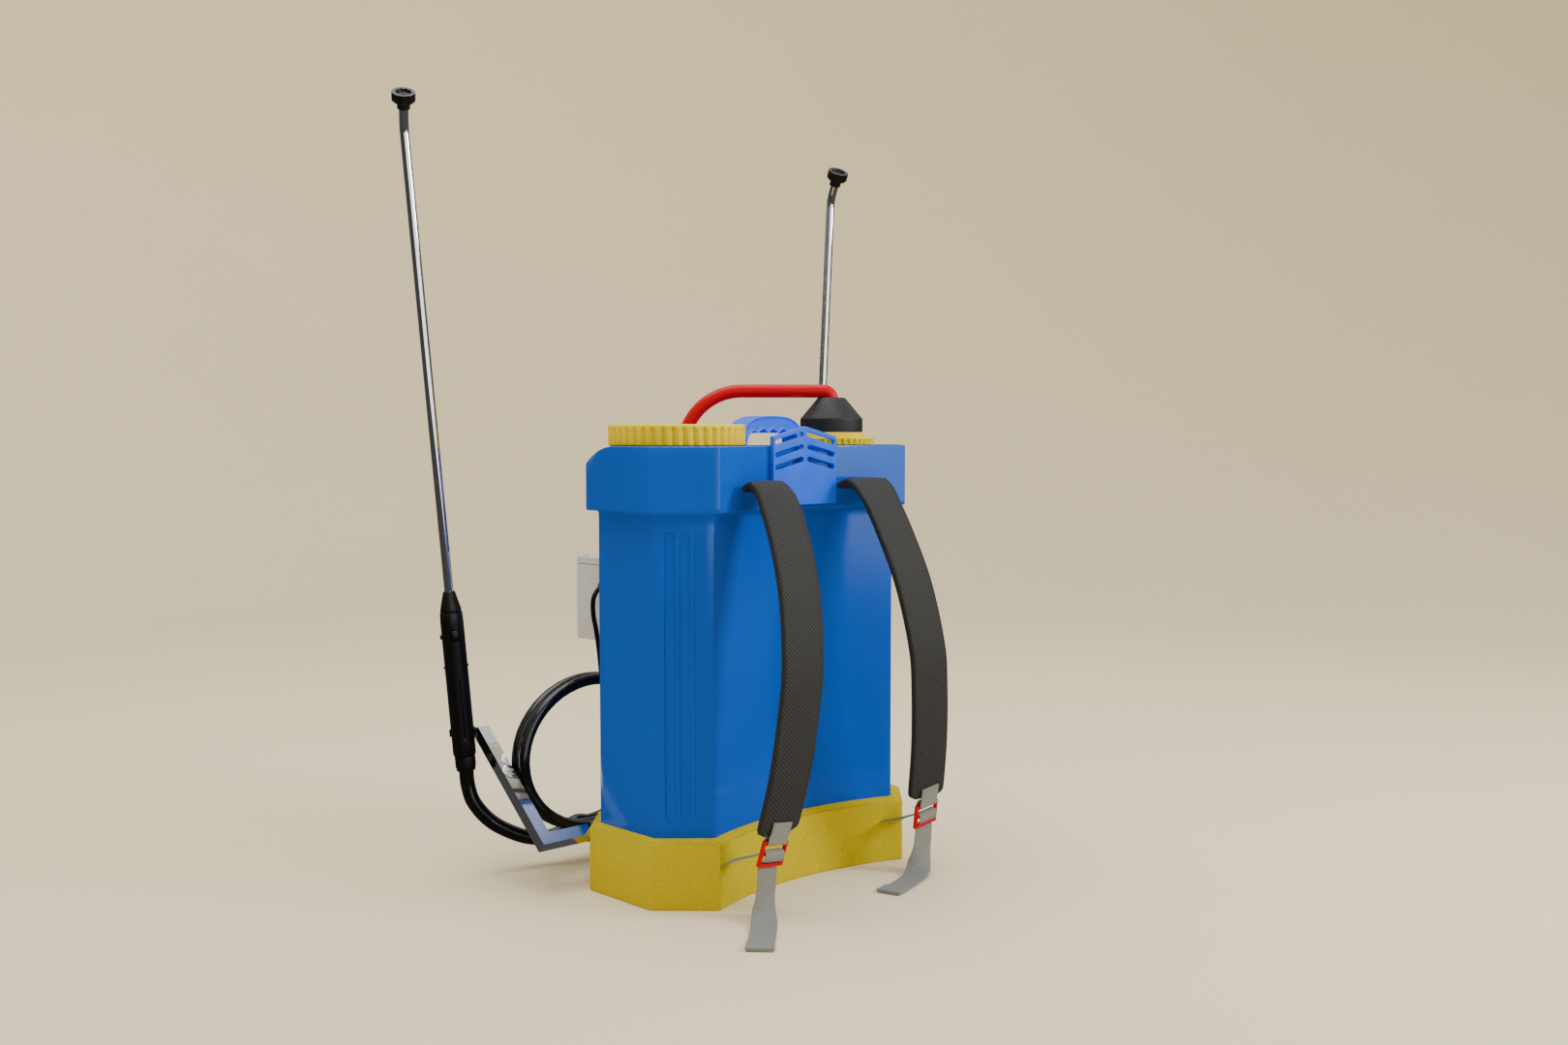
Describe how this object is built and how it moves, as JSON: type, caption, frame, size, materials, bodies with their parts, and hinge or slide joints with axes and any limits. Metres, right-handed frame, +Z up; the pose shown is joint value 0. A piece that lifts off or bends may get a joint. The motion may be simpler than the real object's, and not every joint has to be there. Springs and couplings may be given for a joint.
{
  "type": "backpack sprayer",
  "caption": "Knapsack sprayer: faceted tank on a base, side lever pump, battery box, trigger lance on a coiled hose, spare lance, padded shoulder straps.",
  "frame": {"origin": "centre of the base's flat underside", "axes": "+Z up along the tank; -Y towards the wearer's back; -X towards the pump lever and the lance"},
  "size_m": [0.5545, 0.4487, 0.8586],
  "materials": {
    "tank_blue": "glossy blow-moulded polyethylene",
    "light_blue": "satin moulded plastic",
    "base_yellow": "fine-grained matt",
    "cap_yellow": "satin",
    "red_plastic": "glossy",
    "black_plastic": "semi-matt",
    "white_plastic": "natural",
    "black_rubber": "glossy hose rubber",
    "chrome": "polished",
    "steel": "turned",
    "box_grey": "fine-textured",
    "strap_mesh": "perforated mesh over foam",
    "grey_webbing": "woven webbing"
  },
  "bodies": {
    "root": {"tank_shell": "tank_blue", "base_shell": "base_yellow", "base_plate": "base_yellow", "strainer_basket": "white_plastic", "pump_disc": "cap_yellow", "pressure_dome": "black_plastic", "pump_cylinder": "white_plastic", "delivery_pipe": "red_plastic", "hose_coupling": "black_plastic", "pipe_bracket": "black_plastic", "carry_handle": "light_blue", "slotted_plate": "light_blue", "battery_case": "box_grey", "battery_lid": "box_grey", "battery_pack": "black_plastic", "cable_gland_upper": "black_plastic", "cable_gland_lower": "black_plastic", "battery_cable": "black_rubber", "diaphragm_pump": "black_plastic", "pump_motor": "steel", "shaft_bush": "black_plastic", "shaft_bearing": "black_plastic", "spare_lance_tube": "chrome", "spare_nozzle_body": "black_plastic", "spare_coupling_nut": "black_plastic", "spare_clip_upper": "black_plastic", "spare_clip_lower": "black_plastic", "hose_hook": "black_plastic", "hose_coil": "black_rubber", "hose_tail": "black_rubber", "hose_lead": "black_rubber", "strap_pad_left": "strap_mesh", "strap_pad_right": "strap_mesh", "strap_tab_left": "grey_webbing", "strap_tab_right": "grey_webbing", "buckle_left": "red_plastic", "buckle_right": "red_plastic", "lower_web_left": "grey_webbing", "lower_web_right": "grey_webbing", "web_tail_left": "grey_webbing", "web_tail_right": "grey_webbing"},
    "lid": {"fill_lid": "cap_yellow", "lid_seal": "black_rubber"},
    "ring": {"pump_ring_nut": "cap_yellow"},
    "lever": {"pump_lever": "chrome", "lever_shaft": "steel", "crank_arm": "steel", "lance_clip": "black_plastic", "hose_ferrule": "black_plastic", "grip_body": "black_plastic", "grip_nose": "black_plastic", "lance_tube": "chrome", "nozzle_body": "black_plastic"},
    "piston": {"piston_rod": "steel"},
    "trigger": {"trigger_button": "black_plastic"},
    "nozzle": {"nozzle_cap": "black_plastic"},
    "spare_nozzle": {"spare_nozzle_cap": "black_plastic"},
    "switch": {"rocker_switch": "red_plastic"}
  },
  "joints": [
    {"name": "lid_lift", "type": "slide", "parent": "root", "child": "lid", "axis": [0, 0, 1], "range_m": [0, 0.06]},
    {"name": "ring_turn", "type": "hinge", "parent": "root", "child": "ring", "pos_m": [0.1277, 0, 0.484], "axis": [0, 0, 1], "continuous": true},
    {"name": "lever_swing", "type": "hinge", "parent": "root", "child": "lever", "pos_m": [-0.174, 0.08, 0.054], "axis": [1, 0, 0], "range_deg": [0, 30]},
    {"name": "piston_stroke", "type": "slide", "parent": "root", "child": "piston", "axis": [0, 0, 1], "range_m": [-0.0366, 0]},
    {"name": "trigger_press", "type": "slide", "parent": "lever", "child": "trigger", "axis": [0.4066, 0.9128, 0.0389], "range_m": [0, 0.003], "stiffness_N_per_m": 400},
    {"name": "nozzle_turn", "type": "hinge", "parent": "lever", "child": "nozzle", "pos_m": [-0.32623, 0.18812, 0.83985], "axis": [-0.2869, -0.4889, 0.8238], "continuous": true},
    {"name": "spare_nozzle_turn", "type": "hinge", "parent": "root", "child": "spare_nozzle", "pos_m": [0.20069, 0.06467, 0.80257], "axis": [-0.1611, -0.5073, 0.8466], "continuous": true},
    {"name": "switch_rock", "type": "hinge", "parent": "root", "child": "switch", "pos_m": [-0.075, 0.153, 0.319], "axis": [1, 0, 0], "range_deg": [0, 14]}
  ],
  "couplings": [
    {"joint": "piston_stroke", "follows": "lever_swing", "m_per_rad": -0.0697}
  ]
}
